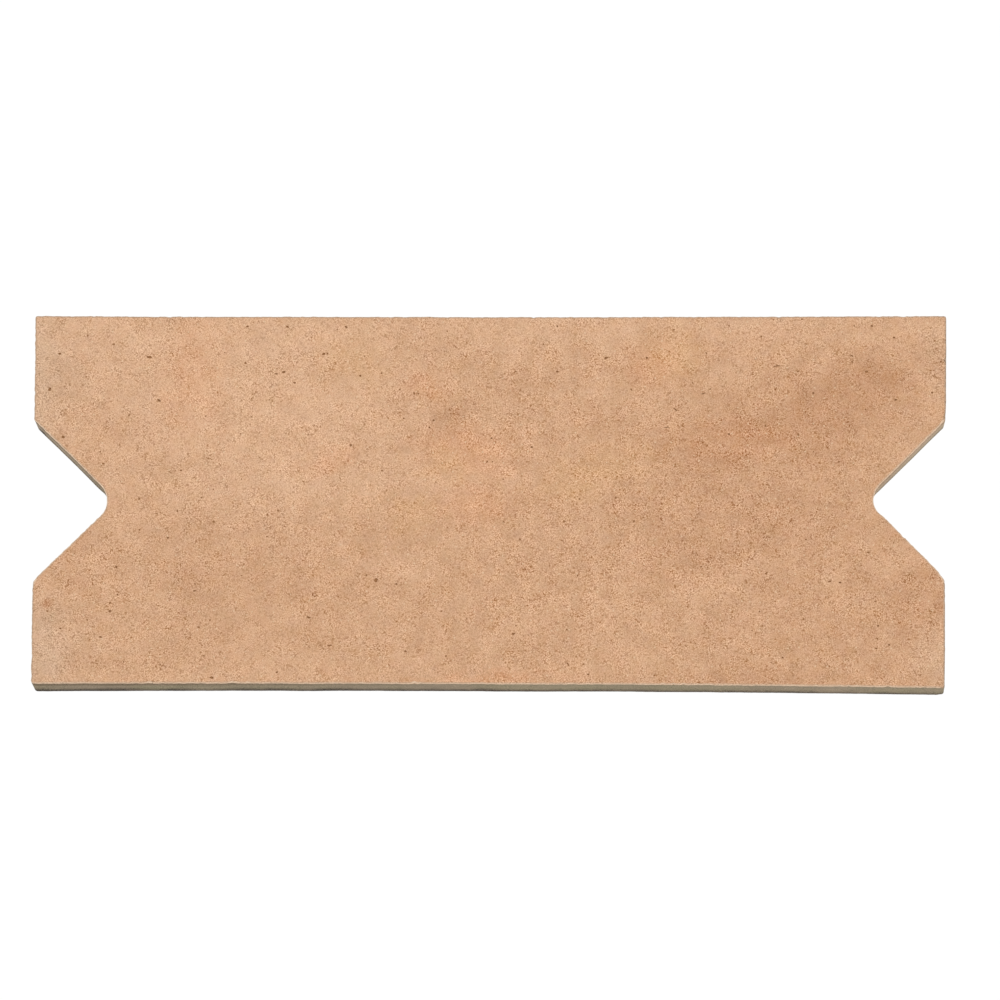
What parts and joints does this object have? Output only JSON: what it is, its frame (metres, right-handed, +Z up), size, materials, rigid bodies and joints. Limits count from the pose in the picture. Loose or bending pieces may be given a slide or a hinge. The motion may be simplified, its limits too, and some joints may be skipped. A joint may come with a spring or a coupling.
{
  "type": "porcelain tile",
  "caption": "Long rectangular porcelain paving tile with a right-angled V notch in each short end, a matt terracotta face and a keyed back, for floors laid with small square inserts.",
  "frame": {"origin": "middle of the back, in the plane of the ribs that the tile lies on", "axes": "+X along the length, from one notched end to the other; +Y across the width; +Z up, out of the decorated face"},
  "size_m": [0.25, 0.1036, 0.01],
  "materials": {
    "fired_porcelain": "matt, unglazed, mottled terracotta face over a grey-beige body"
  },
  "bodies": {
    "root": {"tile": "fired_porcelain"}
  },
  "joints": []
}
